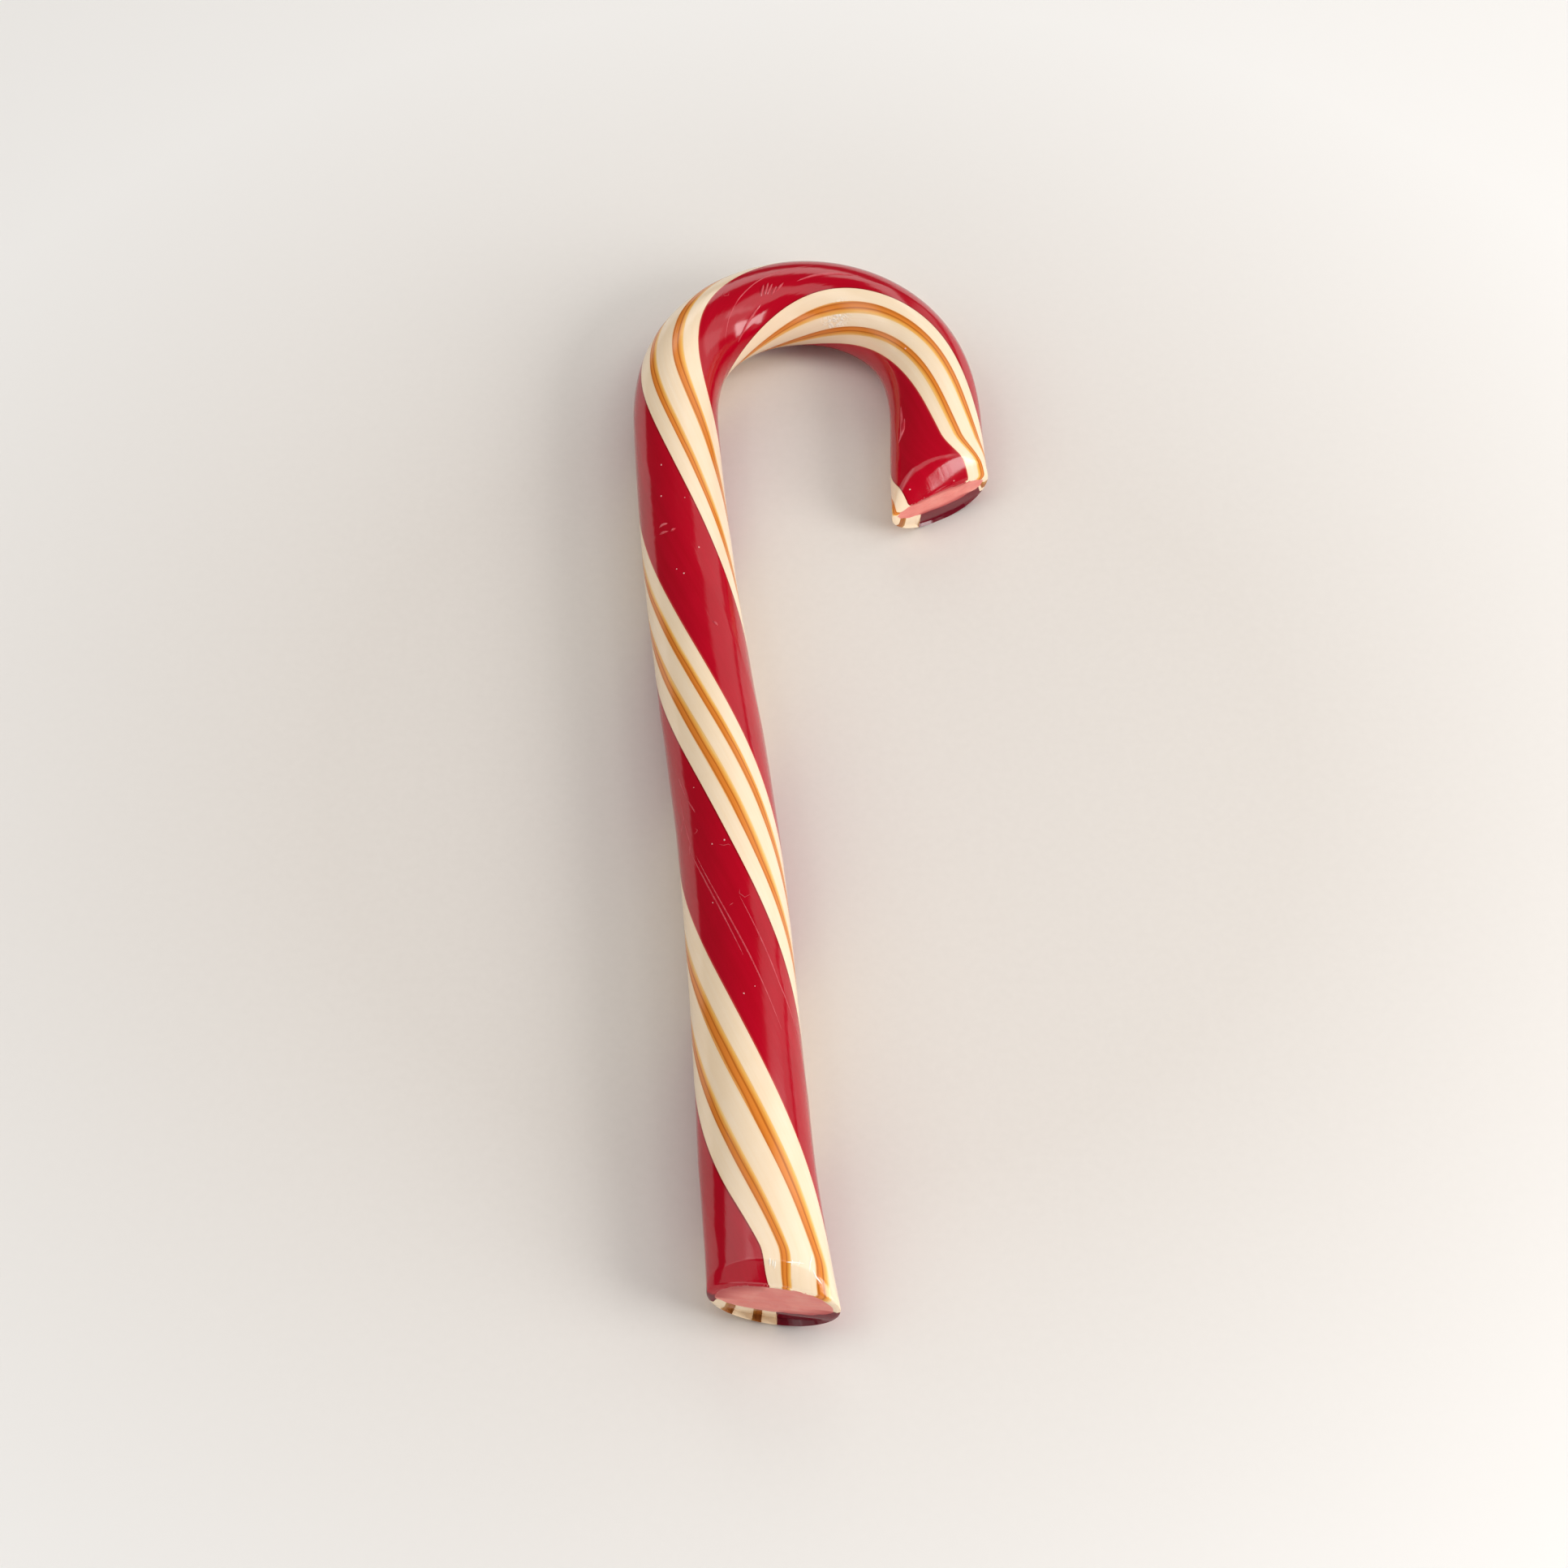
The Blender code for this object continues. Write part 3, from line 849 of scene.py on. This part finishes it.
def find_origin(sections):
    """Middle of the plain rod's outline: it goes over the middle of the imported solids."""
    points = [on_rod(section, radians(angle)) for section in sections for angle in range(0, 360, 6)]
    middle = [
        (min(point[axis] for point in points) + max(point[axis] for point in points)) / 2
        - (CAD_LOW[axis] + CAD_HIGH[axis]) / 2
        for axis in (0, 1)
    ]
    return Vector((*middle, 0.0))


# Camera and studio
CAMERA_ELEVATION = radians(52)
CAMERA_DISTANCE = 0.5512
CAMERA_TARGET = Vector((-0.00342, -0.00195, 0.0))
CAMERA_LENS = 102.5


def add_camera():
    data = bpy.data.cameras.new("camera")
    data.lens = CAMERA_LENS
    data.sensor_width = 36.0
    data.clip_start = 0.01
    camera = bpy.data.objects.new("camera", data)
    back = Vector((0.0, -cos(CAMERA_ELEVATION), sin(CAMERA_ELEVATION)))
    camera.location = CAMERA_TARGET + back * CAMERA_DISTANCE
    camera.rotation_euler = (pi / 2 - CAMERA_ELEVATION, 0.0, 0.0)
    bpy.context.scene.collection.objects.link(camera)
    bpy.context.scene.camera = camera


def add_soft_light(name, place, width, height, brightness, colour):
    """A rectangular diffuser that faces the cane, as bright to look at whatever its size."""
    data = bpy.data.lights.new(name, "AREA")
    data.shape = "RECTANGLE"
    data.size, data.size_y = width, height
    data.energy = pi * brightness * width * height
    data.color = colour
    light = bpy.data.objects.new(name, data)
    light.location = place
    light.rotation_euler = (-Vector(place)).to_track_quat("-Z", "Y").to_euler()
    bpy.context.scene.collection.objects.link(light)


def add_studio():
    material, tree, shader = new_material("pale_table", 0.75, 0.0)
    shader.inputs["Specular IOR Level"].default_value = 0.15
    grain = speckle(tree, 900.0, 3.0)
    colour = colour_mix(tree, remap(tree, grain, 0.3, 0.7, 0.0, 1.0), (0.74, 0.70, 0.655), (0.755, 0.715, 0.67))
    # Painted shade: the table is darker within about 6 cm of its middle, where the cane lies, and brightens to a pale
    # grey-white by 14 cm. This stands in for the shadow and shade around the cane.
    place = add_node(tree, "ShaderNodeTexCoord").outputs["Object"]
    away = add_node(tree, "ShaderNodeVectorMath", {0: place}, operation="LENGTH").outputs["Value"]
    colour = colour_mix(tree, remap(tree, away, 0.06, 0.14, 0.0, 1.0), colour, (0.90, 0.89, 0.87))
    tree.links.new(colour, shader.inputs["Base Color"])
    shape = bmesh.new()
    bmesh.ops.create_grid(shape, x_segments=1, y_segments=1, size=2.0)
    mesh = bpy.data.meshes.new("table")
    shape.to_mesh(mesh)
    shape.free()
    mesh.materials.append(material)
    table = bpy.data.objects.new("table", mesh)
    bpy.context.scene.collection.objects.link(table)
    world = bpy.data.worlds.new("studio")
    world.use_nodes = True
    sky = world.node_tree.nodes["Background"]
    sky.inputs["Color"].default_value = (1.0, 0.965, 0.93, 1.0)
    sky.inputs["Strength"].default_value = 0.08
    bpy.context.scene.world = world
    add_soft_light("overhead", (0.0, 0.03, 0.58), 0.80, 0.30, 1.45, (1.0, 0.98, 0.96))
    add_soft_light("right_high", (0.55, 0.12, 0.52), 0.66, 0.56, 1.10, (1.0, 0.98, 0.96))
    add_soft_light("left_high", (-0.54, -0.02, 0.56), 0.66, 0.56, 1.25, (1.0, 0.98, 0.96))
    add_soft_light("left_near", (-0.45, -0.42, 0.34), 0.45, 0.45, 0.65, (1.0, 0.98, 0.96))
    add_soft_light("front_low", (-0.10, -0.60, 0.13), 0.60, 0.20, 1.6, (1.0, 0.98, 0.96))
    add_soft_light("far_low", (0.0, 0.60, 0.32), 0.36, 0.26, 2.1, (1.0, 0.98, 0.96))
    add_soft_light("right_far", (0.48, 0.47, 0.32), 0.66, 0.50, 0.70, (1.0, 0.96, 0.92))
    add_soft_light("window", (0.50, -0.20, 0.26), 0.34, 0.28, 8.0, (1.0, 0.98, 0.97))
    bpy.context.scene.view_settings.view_transform = "Standard"


def main():
    line = make_centre_line()
    count = ceil(ROD_LENGTH / ALONG_STEP)
    sections = [make_section(line, along_at(index / count)) for index in range(count + 1)]
    core_sections = [make_section(line, along_at(index / CORE_LENGTHS)) for index in range(CORE_LENGTHS + 1)]
    origin = find_origin(core_sections)
    materials = {
        "red_candy": make_red(),
        "cream_candy": make_cream(),
        "amber_candy": make_amber(),
        "pink_core": make_pink(),
    }
    for name, kind, start, end in stripe_list():
        make_stripe(name, materials[kind], kind, sections, start, end, origin)
    make_core("pulled_core", materials["pink_core"], "pink_core", core_sections, origin)
    raised = make_raised_red()
    dust = make_dust()
    make_ridges("pulled_seams", raised, "red_candy", line, PULLED_SEAMS, SEAM_WIDTH, SEAM_HEIGHT, origin)
    make_ridges("bending_folds", raised, "red_candy", line, BENDING_FOLDS, FOLD_WIDTH, FOLD_HEIGHT, origin)
    make_ridges("fine_hairs", raised, "red_candy", line, FINE_HAIRS, HAIR_WIDTH, HAIR_HEIGHT, origin)
    make_ridges("cut_glints", make_ridge_with_painted_glint(), "cream_candy", line, CUT_GLINTS, GLINT_WIDTH, GLINT_HEIGHT, origin)
    make_specks("air_specks", dust, "cream_candy", line, AIR_SPECKS, origin)
    add_studio()
    add_camera()


main()
